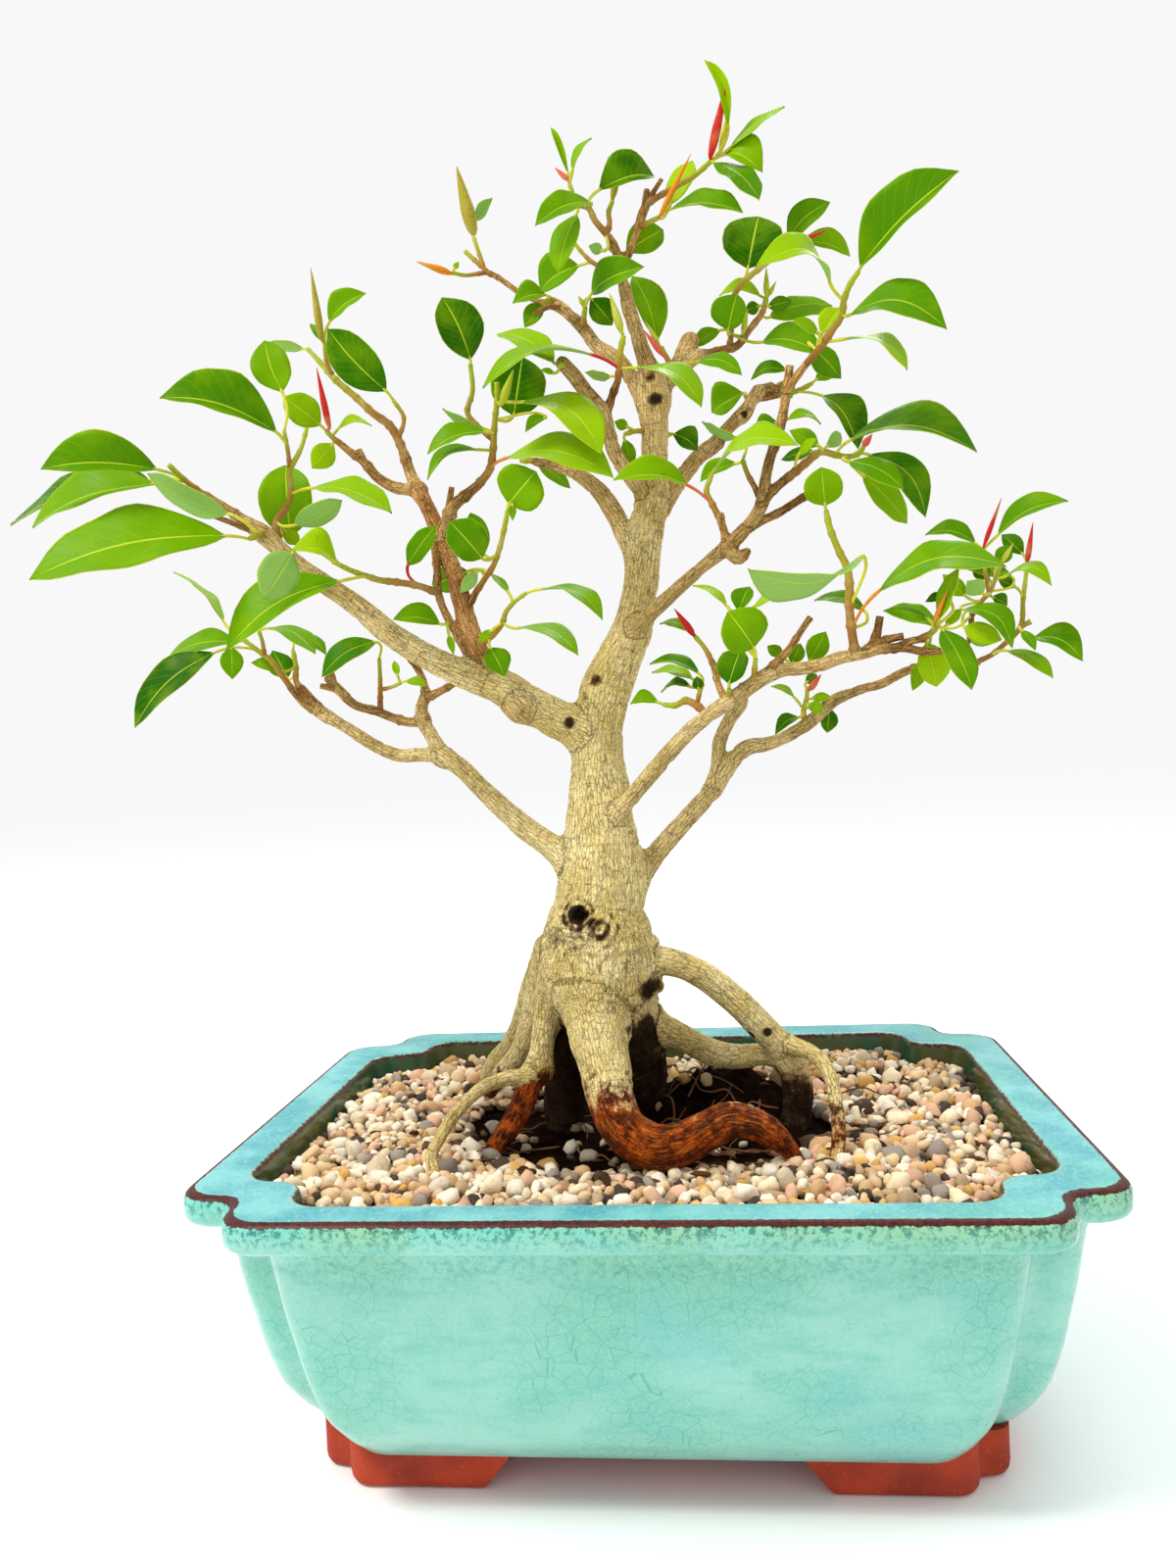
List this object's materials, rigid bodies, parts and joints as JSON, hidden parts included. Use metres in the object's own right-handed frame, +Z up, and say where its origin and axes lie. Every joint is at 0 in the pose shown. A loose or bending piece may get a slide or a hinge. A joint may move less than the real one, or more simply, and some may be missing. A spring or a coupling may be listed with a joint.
{
  "type": "small-leaf fig bonsai",
  "caption": "Small-leaf fig grown as a bonsai with exposed roots, in a glazed rectangular pot with notched corners and four feet.",
  "frame": {"origin": "below the middle of the whole bonsai's box, on the plane that the four feet stand on", "axes": "+Z up along the trunk; +X to the right and +Y away from the viewer, who faces the pot's long front side"},
  "size_m": [0.34, 0.201, 0.415],
  "materials": {
    "glazed_pot": "turquoise glaze with fine crackle, brown where it breaks at the rim's edges, with bare orange clay feet",
    "drain_mesh": "dark moulded plastic mesh",
    "potting_soil": "dark crumbly potting soil",
    "pebble_bed": "small dry river pebbles in cream, tan, peach and grey",
    "fig_bark": "pale tan fissured bark, orange-brown on the buried side of the roots and dark on the young twigs",
    "fig_leaf": "glossy green leaves with yellow-green veins and margins, on green and brown stems"
  },
  "bodies": {
    "root": {"pot": "glazed_pot", "drain_screen_left": "drain_mesh", "drain_screen_right": "drain_mesh", "soil": "potting_soil", "gravel": "pebble_bed", "tree": "fig_bark", "shoot_far_left": "fig_leaf", "shoot_left_knob": "fig_leaf", "shoot_left_riser": "fig_leaf", "shoot_left_high": "fig_leaf", "shoot_left_middle": "fig_leaf", "shoot_left_near": "fig_leaf", "shoot_low_left_inner": "fig_leaf", "shoot_low_left_outer": "fig_leaf", "shoot_low_knuckle": "fig_leaf", "shoot_red_side": "fig_leaf", "shoot_red_low": "fig_leaf", "shoot_red_riser": "fig_leaf", "shoot_red_high": "fig_leaf", "shoot_upper_left": "fig_leaf", "shoot_upper_fork": "fig_leaf", "shoot_top_left": "fig_leaf", "shoot_top_right": "fig_leaf", "shoot_top_right_low": "fig_leaf", "shoot_centre": "fig_leaf", "shoot_upper_twig": "fig_leaf", "shoot_upper_knob": "fig_leaf", "shoot_upper_end": "fig_leaf", "shoot_leader_side": "fig_leaf", "shoot_upper_fruiting": "fig_leaf", "shoot_top_right_end": "fig_leaf", "shoot_right_crown": "fig_leaf", "shoot_middle_right_inner": "fig_leaf", "shoot_middle_right_stub": "fig_leaf", "shoot_middle_right_end": "fig_leaf", "shoot_right_top": "fig_leaf", "shoot_right_dark": "fig_leaf", "shoot_right_upright": "fig_leaf", "shoot_right_small": "fig_leaf", "shoot_right_thin": "fig_leaf", "shoot_trunk_left": "fig_leaf", "shoot_trunk_right": "fig_leaf", "shoot_riser": "fig_leaf", "shoot_far_right": "fig_leaf", "shoot_far_right_inner": "fig_leaf", "shoot_lower_right_end": "fig_leaf", "shoot_inner_right_tip": "fig_leaf", "shoot_inner_right": "fig_leaf", "shoot_inner_right_dark": "fig_leaf", "shoot_inner_right_low": "fig_leaf", "shoot_lowest_right": "fig_leaf", "shoot_lower_right_back": "fig_leaf"}
  },
  "joints": []
}
